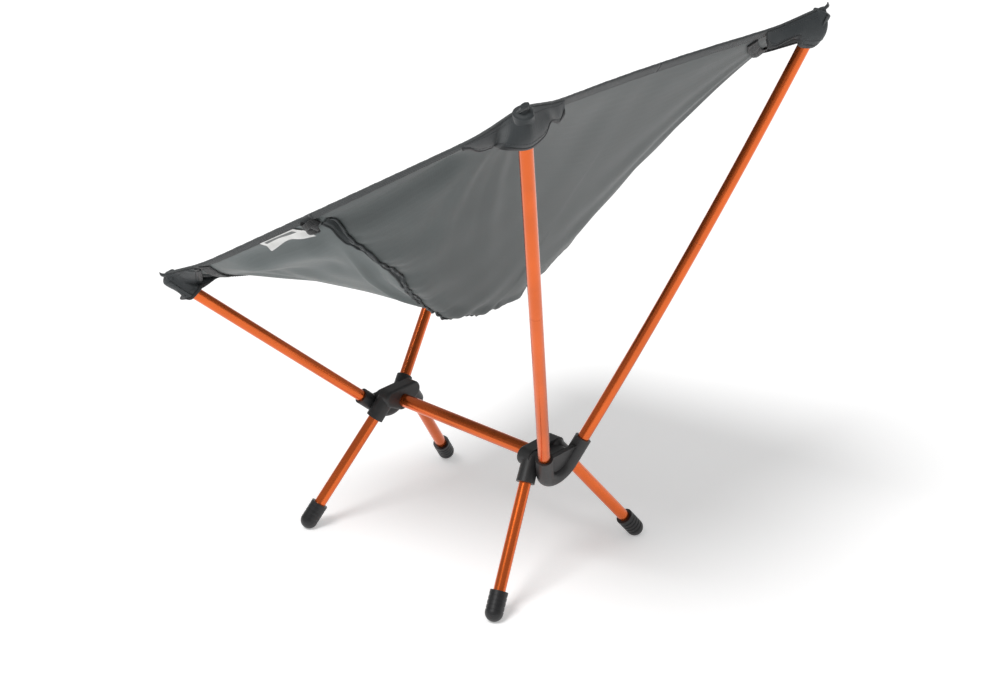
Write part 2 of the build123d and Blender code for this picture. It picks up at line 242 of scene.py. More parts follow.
# ---- mesh tools -------------------------------------------------------------------------------
def new_piece(name, points, faces, material, uvs=None, normals=None, smooth_faces=True):
    """A mesh object.  uvs and normals are given for each point."""
    mesh = bpy.data.meshes.new(name)
    mesh.from_pydata([tuple(p) for p in points], [], faces)
    mesh.polygons.foreach_set("use_smooth", [smooth_faces] * len(mesh.polygons))
    if uvs is not None:
        layer = mesh.uv_layers.new(name="cloth")
        index = np.zeros(len(mesh.loops), np.int32)
        mesh.loops.foreach_get("vertex_index", index)
        layer.data.foreach_set("uv", np.asarray(uvs, np.float32)[index].ravel())
    if normals is not None:
        mesh.normals_split_custom_set_from_vertices([tuple(n) for n in normals])
    mesh.materials.append(material)
    mesh.update()
    piece = bpy.data.objects.new(name, mesh)
    bpy.context.scene.collection.objects.link(piece)
    return piece


def grid_faces(rows, columns, start=0, flip=False):
    faces = []
    for j in range(rows - 1):
        for i in range(columns - 1):
            a = start + j * columns + i
            quad = (a, a + 1, a + columns + 1, a + columns)
            faces.append(quad[::-1] if flip else quad)
    return faces


def rim_faces(rows, columns, second, flip):
    """Faces that close the border between two equal grids, the second starting at that index."""
    border = [i for i in range(columns)]
    border += [j * columns + columns - 1 for j in range(1, rows)]
    border += [(rows - 1) * columns + i for i in range(columns - 2, -1, -1)]
    border += [j * columns for j in range(rows - 2, 0, -1)]
    faces = []
    for k, a in enumerate(border):
        b = border[(k + 1) % len(border)]
        quad = (b, a, a + second, b + second)
        faces.append(quad[::-1] if flip else quad)
    return faces


def two_layer(name, points, normals, material, thickness, uvs):
    """A closed thin sheet from a grid of points and outward normals, both shaped (rows, columns, 3)."""
    rows, columns = points.shape[:2]
    outer = (points + normals * thickness / 2).reshape(-1, 3)
    inner = (points - normals * thickness / 2).reshape(-1, 3)
    count = rows * columns
    j, i = rows // 2, columns // 2
    turn = np.cross(points[j, i + 1] - points[j, i], points[j + 1, i] - points[j, i])
    flip = turn @ normals[j, i] < 0
    faces = grid_faces(rows, columns, 0, flip) + grid_faces(rows, columns, count, not flip)
    faces += rim_faces(rows, columns, count, flip)
    flat_normals = normals.reshape(-1, 3)
    all_normals = np.concatenate([flat_normals, -flat_normals])
    all_uvs = np.concatenate([uvs.reshape(-1, 2)] * 2)
    return new_piece(name, np.concatenate([outer, inner]), faces, material, all_uvs, all_normals)


def grid_normals(points):
    """Outward normals of a whole grid, taken from its neighbours."""
    across = np.gradient(points, axis=1)
    along = np.gradient(points, axis=0)
    return unit(np.cross(along, across))


def sweep(name, path, side_dirs, up_dirs, profile, material, closed=True, ends=True):
    """A solid strip: the profile's (sideways, up) points carried along a path."""
    path, side_dirs, up_dirs = np.asarray(path), np.asarray(side_dirs), np.asarray(up_dirs)
    shape = np.asarray(profile)
    if shape.ndim == 2:
        shape = np.repeat(shape[None], len(path), 0)
    points = path[:, None] + side_dirs[:, None] * shape[..., :1] + up_dirs[:, None] * shape[..., 1:]
    rows, columns = points.shape[:2]
    run = np.concatenate([[0], np.cumsum(np.linalg.norm(np.diff(path, axis=0), axis=1))])
    around = np.linspace(0, 0.02, columns)
    uvs = np.stack(np.broadcast_arrays(around[None], run[:, None]), -1)
    faces = []
    for j in range(rows - 1):
        for i in range(columns if closed else columns - 1):
            a, b = j * columns + i, j * columns + (i + 1) % columns
            faces.append((a, b, b + columns, a + columns))
    if ends:
        faces.append(tuple(range(columns))[::-1])
        faces.append(tuple(range((rows - 1) * columns, rows * columns)))
    piece = new_piece(name, points.reshape(-1, 3), faces, material, uvs.reshape(-1, 2))
    fix_normals(piece)
    return piece


def fix_normals(piece):
    """Turn a closed piece's faces to point outwards."""
    mesh = bmesh.new()
    mesh.from_mesh(piece.data)
    bmesh.ops.recalc_face_normals(mesh, faces=mesh.faces)
    mesh.to_mesh(piece.data)
    mesh.free()


def oval(width, height, count=14, power=0.6):
    """A rounded strip's section, flatter than an ellipse when power is under 1."""
    points = []
    for i in range(count):
        t = 2 * math.pi * i / count
        c, s = math.cos(t), math.sin(t)
        points.append((math.copysign(abs(c) ** power, c) * width / 2,
                       math.copysign(abs(s) ** power, s) * height / 2))
    return points


def spline(points, count):
    """A smooth curve through given points (Catmull-Rom), even between each pair of them."""
    points = [np.asarray(p, float) for p in points]
    points = [2 * points[0] - points[1]] + points + [2 * points[-1] - points[-2]]
    made = []
    for where in np.linspace(1, len(points) - 2, count):
        k = min(int(where), len(points) - 3)
        t = where - k
        p0, p1, p2, p3 = points[k - 1:k + 3]
        made.append(0.5 * (2 * p1 + (p2 - p0) * t + (2 * p0 - 5 * p1 + 4 * p2 - p3) * t * t
                           + (3 * p1 - p0 - 3 * p2 + p3) * t ** 3))
    return np.array(made)


def stitch_row(path, up_dirs, pitch=0.0030, length=0.0021, radius=0.00028):
    """Points and faces of a row of thread stitches that lie on a path."""
    path = np.asarray(path, float)
    run = np.concatenate([[0], np.cumsum(np.linalg.norm(np.diff(path, axis=0), axis=1))])
    points, faces = [], []
    for k in range(int((run[-1] - length) / pitch)):
        start, stop = k * pitch + pitch / 2, k * pitch + pitch / 2 + length
        ends = [np.array([np.interp(t, run, path[:, n]) for n in range(3)])
                for t in (start, (start + stop) / 2, stop)]
        near = int(np.searchsorted(run, start))
        up = unit(np.asarray(up_dirs)[min(near, len(up_dirs) - 1)])
        along = unit(ends[2] - ends[0])
        side = np.cross(along, up)
        base = len(points)
        for where, lift, size in ((ends[0], -0.4, 0.6), (ends[1], 0.7, 1.0), (ends[2], -0.4, 0.6)):
            for n in range(6):
                turn = math.pi * n / 3
                points.append(where + up * radius * lift
                              + (side * math.cos(turn) + up * math.sin(turn)) * radius * size)
        for ring in (0, 6):
            for n in range(6):
                a, b = base + ring + n, base + ring + (n + 1) % 6
                faces.append((a, b, b + 6, a + 6))
        faces.append(tuple(base + n for n in range(5, -1, -1)))
        faces.append(tuple(base + 12 + n for n in range(6)))
    return points, faces


def thread(name, rows, material):
    """One piece made of several stitch rows, each given as (path, up directions)."""
    points, faces = [], []
    for path, ups in rows:
        more, more_faces = stitch_row(path, ups)
        faces += [tuple(i + len(points) for i in face) for face in more_faces]
        points += more
    return new_piece(name, points, faces, material)


# ---- materials --------------------------------------------------------------------------------
class Nodes:
    """Short forms for building a material's node tree."""

    def __init__(self, name):
        self.material = bpy.data.materials.new(name)
        self.material.use_nodes = True
        self.tree = self.material.node_tree
        self.shader = self.tree.nodes["Principled BSDF"]

    def add(self, kind, **settings):
        node = self.tree.nodes.new(kind)
        for key, value in settings.items():
            setattr(node, key, value)
        return node

    def link(self, out, into):
        self.tree.links.new(out, into)

    def set(self, **values):
        for key, value in values.items():
            self.shader.inputs[key.replace("_", " ")].default_value = value

    def coordinates(self, kind, scale=(1, 1, 1), rotation=(0, 0, 0)):
        mapping = self.add("ShaderNodeMapping")
        mapping.inputs["Scale"].default_value = scale
        mapping.inputs["Rotation"].default_value = rotation
        if kind == "UV":
            source = self.add("ShaderNodeUVMap", uv_map="cloth")
            self.link(source.outputs["UV"], mapping.inputs["Vector"])
        else:
            source = self.add("ShaderNodeTexCoord")
            self.link(source.outputs[kind], mapping.inputs["Vector"])
        return mapping.outputs["Vector"]

    def noise(self, vector, scale, detail=3.0, roughness=0.55):
        node = self.add("ShaderNodeTexNoise")
        node.inputs["Scale"].default_value = scale
        node.inputs["Detail"].default_value = detail
        node.inputs["Roughness"].default_value = roughness
        self.link(vector, node.inputs["Vector"])
        return node.outputs["Fac"]

    def wave(self, vector, scale, direction, profile="SIN"):
        node = self.add("ShaderNodeTexWave", wave_type="BANDS", bands_direction=direction,
                        wave_profile=profile)
        node.inputs["Scale"].default_value = scale
        self.link(vector, node.inputs["Vector"])
        return node.outputs["Fac"]

    def maths(self, operation, a, b=0.0, c=0.0):
        node = self.add("ShaderNodeMath", operation=operation)
        for socket, value in zip(node.inputs, (a, b, c)):
            if isinstance(value, (int, float)):
                socket.default_value = value
            else:
                self.link(value, socket)
        return node.outputs[0]

    def ramp(self, factor, stops):
        node = self.add("ShaderNodeValToRGB")
        ramp = node.color_ramp
        while len(ramp.elements) < len(stops):
            ramp.elements.new(0.5)
        for element, (place, colour) in zip(ramp.elements, stops):
            element.position = place
            element.color = (*colour, 1)
        self.link(factor, node.inputs["Fac"])
        return node.outputs["Color"]

    def spread(self, factor, low, high):
        node = self.add("ShaderNodeMapRange")
        node.inputs["To Min"].default_value = low
        node.inputs["To Max"].default_value = high
        self.link(factor, node.inputs["Value"])
        return node.outputs["Result"]

    def bump(self, height, strength, distance):
        node = self.add("ShaderNodeBump")
        node.inputs["Strength"].default_value = strength
        node.inputs["Distance"].default_value = distance
        self.link(height, node.inputs["Height"])
        self.link(node.outputs["Normal"], self.shader.inputs["Normal"])


def shade(colour, factor):
    return tuple(min(1.0, c * factor) for c in colour)


def ripstop(name, colour, cell=0.0042):
    """Light ripstop nylon: fine plain weave, thicker grid threads, faint mottling and sheen."""
    n = Nodes(name)
    uv = n.coordinates("UV")
    warp = n.wave(uv, 1 / 0.0009, "X")
    weft = n.wave(uv, 1 / 0.0009, "Y")
    weave = n.maths("MULTIPLY", n.maths("ADD", warp, weft), 0.5)
    grid_x = n.maths("POWER", n.wave(uv, 0.314 / cell, "X"), 14.0)
    grid_y = n.maths("POWER", n.wave(uv, 0.314 / cell, "Y"), 14.0)
    grid = n.maths("MAXIMUM", grid_x, grid_y)
    mottled = n.noise(n.coordinates("Object"), 26.0, 4.0)
    fine = n.noise(uv, 900.0, 2.0)
    tone = n.maths("ADD", n.maths("MULTIPLY", mottled, 0.55), n.maths("MULTIPLY", fine, 0.25))
    tone = n.maths("ADD", tone, n.maths("MULTIPLY", grid, 0.16))
    stops = [(0.25, shade(colour, 0.86)), (0.55, colour), (0.85, shade(colour, 1.18))]
    n.link(n.ramp(tone, stops), n.shader.inputs["Base Color"])
    n.link(n.spread(mottled, 0.50, 0.66), n.shader.inputs["Roughness"])
    n.set(Sheen_Weight=0.25, Sheen_Roughness=0.4, Specular_IOR_Level=0.42)
    height = n.maths("ADD", n.maths("MULTIPLY", weave, 0.35), n.maths("MULTIPLY", grid, 0.9))
    n.bump(height, 0.35, 0.00022)
    return n.material


def tape(name, colour, rib=0.0011, edge_wear=0.25, strength=0.6):
    """Woven tape: ribs across its length, a herringbone cross thread and a worn, paler crown."""
    n = Nodes(name)
    uv = n.coordinates("UV")
    ribs = n.wave(uv, 0.314 / rib, "Y")
    cross = n.wave(uv, 0.314 / (rib * 1.6), "DIAGONAL")
    mottled = n.noise(n.coordinates("Object"), 60.0, 4.0)
    tone = n.maths("ADD", n.maths("MULTIPLY", ribs, 0.35), n.maths("MULTIPLY", mottled, 0.5))
    stops = [(0.2, shade(colour, 0.7)), (0.5, colour), (0.85, shade(colour, 1 + edge_wear))]
    n.link(n.ramp(tone, stops), n.shader.inputs["Base Color"])
    n.link(n.spread(mottled, 0.70, 0.88), n.shader.inputs["Roughness"])
    n.set(Sheen_Weight=0.3, Sheen_Roughness=0.5, Specular_IOR_Level=0.3)
    height = n.maths("ADD", ribs, n.maths("MULTIPLY", cross, 0.5))
    n.bump(height, strength, 0.0003)
    return n.material


def anodised(name, colour, axis):
    """Orange anodised tube: fine draw lines along its axis, slight dye variation, rubbed spots."""
    n = Nodes(name)
    turn = Vector(axis).rotation_difference(Vector((0, 0, 1))).to_euler()
    along = n.coordinates("Object", (1, 1, 0.012), tuple(turn))
    lines = n.noise(along, 2600.0, 2.0)
    dye = n.noise(n.coordinates("Object"), 14.0, 3.0)
    stops = [(0.30, shade(colour, 0.86)), (0.55, colour), (0.80, shade(colour, 1.10))]
    n.link(n.ramp(dye, stops), n.shader.inputs["Base Color"])
    rubbed = n.maths("ADD", n.spread(lines, 0.17, 0.30), n.spread(dye, -0.03, 0.05))
    n.link(rubbed, n.shader.inputs["Roughness"])
    n.set(Metallic=0.86, Specular_IOR_Level=0.6, Coat_Weight=0.35, Coat_Roughness=0.12)
    n.bump(lines, 0.10, 0.00006)
    return n.material


def bare_metal(name):
    n = Nodes(name)
    lines = n.noise(n.coordinates("Object"), 700.0, 3.0)
    n.link(n.ramp(lines, [(0.3, (0.52, 0.53, 0.55)), (0.7, (0.72, 0.73, 0.74))]),
           n.shader.inputs["Base Color"])
    n.link(n.spread(lines, 0.25, 0.42), n.shader.inputs["Roughness"])
    n.set(Metallic=1.0)
    n.bump(lines, 0.2, 0.00005)
    return n.material


def moulded(name, colour, grain=2200.0, rough=(0.38, 0.52), strength=0.32):
    """Glass-filled plastic: fine mould texture, flow streaks and slightly paler rubbed areas."""
    n = Nodes(name)
    place = n.coordinates("Object")
    pits = n.noise(place, grain, 2.0)
    flow = n.noise(n.coordinates("Object", (1, 1, 3)), 35.0, 4.0)
    stops = [(0.3, shade(colour, 0.8)), (0.55, colour), (0.78, shade(colour, 1.55))]
    n.link(n.ramp(flow, stops), n.shader.inputs["Base Color"])
    n.link(n.spread(flow, *rough), n.shader.inputs["Roughness"])
    n.set(Specular_IOR_Level=0.5)
    n.bump(pits, strength, 0.00012)
    return n.material


def braided(name, colour, fleck):
    """Elastic cord's braided sheath."""
    n = Nodes(name)
    place = n.coordinates("Object")
    node = n.add("ShaderNodeTexVoronoi")
    node.inputs["Scale"].default_value = 900.0
    n.link(place, node.inputs["Vector"])
    cells = node.outputs["Distance"]
    n.link(n.ramp(cells, [(0.15, colour), (0.75, fleck)]), n.shader.inputs["Base Color"])
    n.set(Roughness=0.8, Sheen_Weight=0.3)
    n.bump(cells, 0.7, 0.0003)
    return n.material


def thread_material(name, colour):
    n = Nodes(name)
    twist = n.noise(n.coordinates("Object"), 1800.0, 2.0)
    n.link(n.ramp(twist, [(0.3, shade(colour, 0.6)), (0.7, shade(colour, 1.3))]),
           n.shader.inputs["Base Color"])
    n.set(Roughness=0.6, Sheen_Weight=0.2)
    n.bump(twist, 0.4, 0.0001)
    return n.material


def satin_label(name):
    """A blank woven satin label, creased, with slightly grey mottling."""
    n = Nodes(name)
    uv = n.coordinates("UV")
    weave = n.wave(uv, 0.314 / 0.0006, "Y")
    dirt = n.noise(n.coordinates("Object"), 70.0, 4.0)
    n.link(n.ramp(dirt, [(0.3, (0.74, 0.74, 0.72)), (0.7, (0.86, 0.86, 0.85))]),
           n.shader.inputs["Base Color"])
    n.link(n.spread(dirt, 0.42, 0.6), n.shader.inputs["Roughness"])
    n.set(Sheen_Weight=0.2)
    n.bump(weave, 0.3, 0.0001)
    return n.material


ORANGE = (0.76, 0.135, 0.018)
BACK_GREY = (0.084, 0.097, 0.097)
SEAT_GREY = (0.146, 0.168, 0.168)
BINDING_GREY = (0.042, 0.048, 0.050)
PATCH_SLATE = (0.032, 0.038, 0.041)
NEAR_BLACK = (0.027, 0.0265, 0.027)

seat_cloth = ripstop("seat_fabric", SEAT_GREY)
back_cloth = ripstop("back_fabric", BACK_GREY)
patch_cloth = ripstop("patch_fabric", PATCH_SLATE, 0.0034)
binding_tape = tape("binding_fabric", BINDING_GREY)
seam_tape_cloth = tape("seam_tape_fabric", shade(BINDING_GREY, 1.25), 0.0009)
black_webbing = tape("black_webbing", (0.020, 0.021, 0.022), 0.0016, 0.6, 0.9)
dark_edge = tape("patch_edge_tape", (0.024, 0.026, 0.028), 0.0009, 0.4, 0.6)
dark_thread = thread_material("dark_thread", (0.030, 0.033, 0.035))
grey_thread = thread_material("grey_thread", (0.075, 0.085, 0.088))
label_cloth = satin_label("label_fabric")
label_band = tape("label_band_print", (0.16, 0.17, 0.17), 0.0006, 0.2, 0.2)
hub_plastic = moulded("hub_plastic", NEAR_BLACK)
cap_plastic = moulded("cap_plastic", (0.03, 0.03, 0.032), 1500.0)
foot_rubber = moulded("foot_rubber", (0.012, 0.012, 0.013), 1200.0, (0.30, 0.50), 0.5)
cord_sheath = braided("elastic_cord", (0.02, 0.02, 0.02), (0.35, 0.35, 0.34))
bare_aluminium = bare_metal("bare_aluminium")


# ---- the carried-over CAD pieces --------------------------------------------------------------
def paint(node, material):
    """Give a carried-over CAD piece its material."""
    piece = frame["nodes"][node]
    piece.data.materials.clear()
    piece.data.materials.append(material)


def sides():
    return (("left", 1), ("right", -1))


def dress_frame():
    """Materials for every CAD piece that stays in sight."""
    paint("spine_tube", anodised("orange_spine", ORANGE, (0, 1, 0)))
    paint("spine_cord", cord_sheath)
    for end in ("front", "rear"):
        paint(f"{end}_hub", hub_plastic)
        for side, sign in sides():
            leg = mirror(AXES[f"{end}_leg_left_pull"], sign)
            paint(f"{end}_leg_tube_{side}", anodised(f"orange_{end}_leg_{side}", ORANGE, leg))
            paint(f"{end}_foot_{side}", foot_rubber)
            paint(f"{end}_leg_cord_{side}", cord_sheath)
            paint(f"{end}_leg_cord_end_{side}", cord_sheath)
            paint(f"{end}_upright_cord_{side}", cord_sheath)
            paint(f"{end}_tip_cap_{side}", cap_plastic)
    for side, sign in sides():
        front = anodised(f"orange_front_upright_{side}", ORANGE, mirror(FRONT.up, sign))
        rear = anodised(f"orange_rear_upright_{side}", ORANGE, mirror(REAR.up, sign))
        paint(f"front_upright_{side}", front)
        paint(f"rear_upright_lower_{side}", rear)
        paint(f"rear_upright_upper_{side}", rear)
        paint(f"rear_ferrule_{side}", bare_aluminium)


def follow_corner(piece):
    """Bake a sling piece's placement into its mesh."""
    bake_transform(piece)


# ---- panels -----------------------------------------------------------------------------------
def panel(label, v_low, v_high, rows, material, node):
    """One sling panel, as a left and a right half that meet at the chair's middle line."""
    columns = PANEL_COLUMNS
    u = np.linspace(-1, 1, 2 * columns - 1)[None]
    share = np.linspace(0, 1, rows)[:, None]
    v = v_low(u) * (1 - share) + v_high(u) * share
    points = cloth(u, v)
    normals = grid_normals(points)
    uvs = np.stack(np.broadcast_arrays(u * ARC_HALF, v * 0.62), -1)
    for side, span in (("left", slice(columns - 1, None)), ("right", slice(0, columns))):
        piece = two_layer(f"{label}_{side}", points[:, span], normals[:, span], material, CLOTH,
                          uvs[:, span])
        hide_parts(node)
        follow_corner(piece)


# ---- bindings ---------------------------------------------------------------------------------
def side_binding(corner, side, sign):
    """Folded tape over the sling's side edge, from the seam's anchor to the corner."""
    count = 90
    v = np.linspace(SEAM_V + 0.005 * corner.inwards, corner.v, count)
    edge = plain_sling(1.0, v)
    inner = unit(plain_sling(0.97, v) - edge)
    up = outwards(np.full(count, 0.99), v)
    wobble = fold_waves(v, 61, (0.031, 0.057, 0.011))
    centre = edge + inner * (0.0026 + 0.0004 * wobble)[:, None]
    profile = oval(0.0080, 0.0030)
    name = f"side_binding_{corner.end}_{side}"
    piece = sweep(name, mirror(centre, sign), mirror(inner, sign), mirror(up, sign), profile,
                  binding_tape)
    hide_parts(f"side_binding_{side}")
    follow_corner(piece)
    row = centre + inner * 0.0024 + up * 0.00135
    under = centre + inner * 0.0024 - up * 0.00135
    stitches = thread(f"{name}_stitches", [(mirror(row, sign), mirror(up, sign)),
                                           (mirror(under, sign), mirror(-up, sign))], dark_thread)
    follow_corner(stitches)


def end_binding(corner, side, sign, label, width, height, node):
    """The tape or rolled hem along the sling's front or top edge, one half of it."""
    count = 80
    u = np.linspace(0, 1, count)
    edge = plain_sling(u, corner.v)
    inner = unit(plain_sling(u, corner.v + corner.inwards * 0.02) - edge)
    up = outwards(u, np.full(count, corner.v + corner.inwards * 0.01))
    wobble = fold_waves(u, 71, (0.11, 0.23, 0.047))
    centre = edge + inner * (width / 2 - 0.0015 + 0.0004 * wobble)[:, None]
    piece = sweep(f"{label}_{side}", mirror(centre, sign), mirror(inner, sign), mirror(up, sign),
                  oval(width, height), binding_tape)
    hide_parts(node)
    follow_corner(piece)
    row = centre + inner * (width / 2 - 0.0018) + up * (height / 2 - 0.0002)
    stitches = thread(f"{label}_{side}_stitches", [(mirror(row, sign), mirror(up, sign))],
                      dark_thread)
    follow_corner(stitches)


# ---- seam -------------------------------------------------------------------------------------
def seam_tape():
    """The puckered tape over the cross seam, with piping and stitches along both edges."""
    count = 420
    u = np.linspace(-0.955, 0.955, count)
    half = SEAM_TAPE_HALF
    middle = seam_line(u)
    v = middle[:, None] + np.linspace(-half, half, 11)[None]
    points = cloth(u[:, None], v, 0.0014)
    normals = grid_normals(points)
    if normals[count // 2, 5] @ outwards(0.0, SEAM_V) < 0:
        normals = -normals
    uvs = np.stack(np.broadcast_arrays(v * SIDE_LENGTH, u[:, None] * ARC_HALF), -1)
    strip = two_layer("seam_tape_strip", points, normals, seam_tape_cloth, TRIM, uvs)
    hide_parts("seam_tape")
    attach(strip, "frame")
    up = outwards(u, middle)
    rows = []
    for edge in (-1, 1):
        path = cloth(u, middle + edge * half, 0.0022)
        wave = fold_waves(u * ARC_HALF, 5 + edge, (0.0105, 0.0152))
        forward = unit(np.cross(up, unit(np.gradient(path, axis=0))))
        path = path + up * (0.0005 * wave)[:, None] + forward * (0.0007 * wave)[:, None]
        piping = sweep(f"seam_piping_{'front' if edge < 0 else 'rear'}", path, forward, up,
                       oval(0.0026, 0.0022, 8, 1.0), seam_tape_cloth)
        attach(piping, "frame")
        for inset in (0.45, 0.72):
            row = cloth(u, middle + edge * half * inset, 0.0014 + TRIM / 2)
            rows.append((row, up))
    stitches = thread("seam_stitches", rows, dark_thread)
    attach(stitches, "frame")


# ---- corners ----------------------------------------------------------------------------------
def corner_shape(corner):
    """The pocket patch's sewn border and free edge, point for point, on the left side."""
    tip, up, v0, step = corner.tip, corner.up, corner.v, corner.inwards
    half_end = float(np.linalg.norm(plain_sling(0, v0) - plain_sling(1, v0)))
    normal = outwards(0.97, v0 + step * 0.02)

    def beside(distance, depth=0.0, over=0.0016):
        place = plain_sling(1 - depth / ARC_HALF, v0 + step * distance / SIDE_LENGTH)
        return place + normal * over

    def under(distance, depth=0.0, over=0.0016):
        place = plain_sling(1 - distance / half_end, v0 + step * depth / SIDE_LENGTH)
        return place + normal * over

    down = -up
    outer = unit(normal - (normal @ down) * down)
    across = unit(np.cross(down, outer))
    if across @ (beside(0.05) - tip) < 0:
        across = -across
    free = [beside(*place) for place in corner.side_wing]
    free += [tip + down * d + across * a + outer * o for d, a, o in corner.cup]
    free += [under(*place) for place in corner.end_wing]
    before = len(corner.side_wing) + (len(corner.cup) - 1) // 2
    after = len(free) - 1 - before
    side_reach, end_reach = corner.side_wing[0][0], corner.end_wing[-1][0]
    border = [beside(side_reach * (1 - k / before)) for k in range(before)]
    border += [plain_sling(1, v0) + normal * 0.0008 + up * 0.001]
    border += [under(end_reach * k / after) for k in range(1, after + 1)]
    return border, free, outer


def corner_patch(corner, side, sign):
    """The sewn pocket over an upright's tip: wings along both edges and a cup for the pole."""
    border, free, outer = corner_shape(corner)
    columns, rows = 97, 26
    start = spline(border, columns)
    stop = spline(free, columns)
    place = np.linspace(0, len(corner.swell) - 1, columns)
    swell = np.interp(place, np.arange(len(corner.swell)), corner.swell)
    t = np.linspace(0, 1, rows)[:, None, None]
    control = (start + stop) / 2 + outer * swell[:, None] * 2
    points = (1 - t) ** 2 * start + 2 * t * (1 - t) * control + t ** 2 * stop
    pleat = fold_waves(place, 81 if corner.end == "rear" else 83, (1.7, 2.9, 1.1))
    fade = np.sin(np.pi * np.clip(t[..., 0], 0, 1)) ** 0.8
    points = points + outer * (0.0011 * fade * pleat[None])[..., None]
    normals = grid_normals(points)
    if np.mean(normals[rows // 2, columns // 2] @ outer) < 0:
        normals = -normals
    widths = np.stack(np.broadcast_arrays(place[None] * 0.02, t[..., 0] * 0.05), -1)
    points, normals = mirror(points, sign), mirror(normals, sign)
    name = f"{corner.end}_pocket_patch_{side}"
    piece = two_layer(name, points, normals, patch_cloth, 0.0012, widths)
    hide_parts(f"{corner.end}_pocket_{side}")
    follow_corner(piece)
    rim = points[-1]
    inward = unit(points[-2] - points[-1])
    edge = sweep(f"{name}_edge", rim, inward, normals[-1], oval(0.0056, 0.0027), dark_edge)
    follow_corner(edge)
    line = points[-6] + normals[-6] * 0.0007
    brow = points[3] + normals[3] * 0.0007
    stitches = thread(f"{name}_stitches", [(line, normals[-6]), (brow, normals[3])], dark_thread)
    follow_corner(stitches)


def pocket_sleeve(corner, side, sign):
    """The fabric cup that closes the pocket around the upright's tip, with a lapped seam."""
    normal = outwards(0.97, corner.v + corner.inwards * 0.02)
    first = unit(normal - (normal @ corner.up) * corner.up)
    second = np.cross(corner.up, first)
    turn = np.linspace(0.4, 0.4 + 2 * math.pi + 0.25, 60)[None]
    down = np.linspace(1, 0, 24)[:, None]
    height = 0.0058 - 0.0318 * down ** 1.5
    radius = 0.0080 * np.clip(down / 0.12, 0.05, 1) ** 0.5 + 0.0013 * (turn - 0.4) / 6.5
    radius = radius + 0.0003 * np.sin(3 * turn + 9 * down)
    points = corner.tip + height[..., None] * corner.up + radius[..., None] * (
        np.cos(turn)[..., None] * first + np.sin(turn)[..., None] * second)
    normals = grid_normals(points)
    if normals[6, 30] @ (points[6, 30] - corner.tip) < 0:
        normals = -normals
    uvs = np.stack(np.broadcast_arrays(turn * 0.008, down * 0.03), -1)
    piece = two_layer(f"{corner.end}_pocket_sleeve_{side}", mirror(points, sign),
                      mirror(normals, sign), patch_cloth, 0.0011, uvs)
    follow_corner(piece)


def pull_tab(corner, side, sign):
    """The small folded loop at the sling's very corner."""
    crown = plain_sling(1, corner.v)
    edge_out = unit(crown - plain_sling(1, corner.v + corner.inwards * 0.05))
    end_out = unit(crown - plain_sling(0.9, corner.v))
    way = unit(edge_out + 0.5 * end_out + 0.5 * corner.up)
    flat = outwards(0.99, corner.v + corner.inwards * 0.01)
    wide = unit(np.cross(way, flat))
    base = crown - way * 0.006
    path = spline([base, base + way * 0.006 + flat * 0.0010, base + way * 0.0105 + flat * 0.0006,
                   base + way * 0.0120 - flat * 0.0012], 24)
    shape = []
    for k in range(24):
        t = k / 23
        full = 0.012 * (1 - 0.25 * smooth(t, 0.1, 0.5)) * (1 - 0.55 * smooth(t, 0.82, 1.0))
        shape.append(oval(full, 0.0034 * (1 - 0.35 * smooth(t, 0.85, 1.0))))
    piece = sweep(f"{corner.end}_corner_tab_{side}", mirror(path, sign),
                  mirror(np.repeat([wide], 24, 0), sign), mirror(np.repeat([flat], 24, 0), sign),
                  shape, binding_tape)
    follow_corner(piece)


def corner_webbing(corner, side, sign):
    """A short webbing strap across the corner below the pocket, box-stitched at both ends."""
    near, far = corner.strap
    count = 50
    t = np.linspace(0, 1, count)
    u = 1 - 0.012 - t * far / 0.24
    v = corner.v + corner.inwards * (0.012 + (1 - t) * near / SIDE_LENGTH)
    up = outwards(u, v)
    path = cloth(u, v, 0.0016)
    sag = np.sin(np.pi * t)
    path = path + up * (0.0012 * sag)[:, None]
    along = unit(np.gradient(path, axis=0))
    wide = unit(np.cross(up, along))
    width = 0.0130
    piece = sweep(f"{corner.end}_corner_strap_{side}", mirror(path, sign), mirror(wide, sign),
                  mirror(up, sign), oval(width, 0.0017), black_webbing)
    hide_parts(f"{corner.end}_corner_webbing_{side}")
    follow_corner(piece)
    rows = []
    for first in (3, count - 17):
        last = first + 13
        a, b = path[first], path[last]
        wide_a, wide_b, lift = wide[first] * 0.0046, wide[last] * 0.0046, up[first] * 0.0010
        corners = [a - wide_a, a + wide_a, b + wide_b, b - wide_b]
        loops = [(0, 1), (1, 2), (2, 3), (3, 0), (0, 2), (1, 3)]
        for p, q in loops:
            line = np.linspace(corners[p] + lift, corners[q] + lift, 12)
            rows.append((mirror(line, sign), mirror(np.repeat([up[first]], 12, 0), sign)))
    stitches = thread(f"{corner.end}_strap_stitches_{side}", rows, grey_thread)
    follow_corner(stitches)


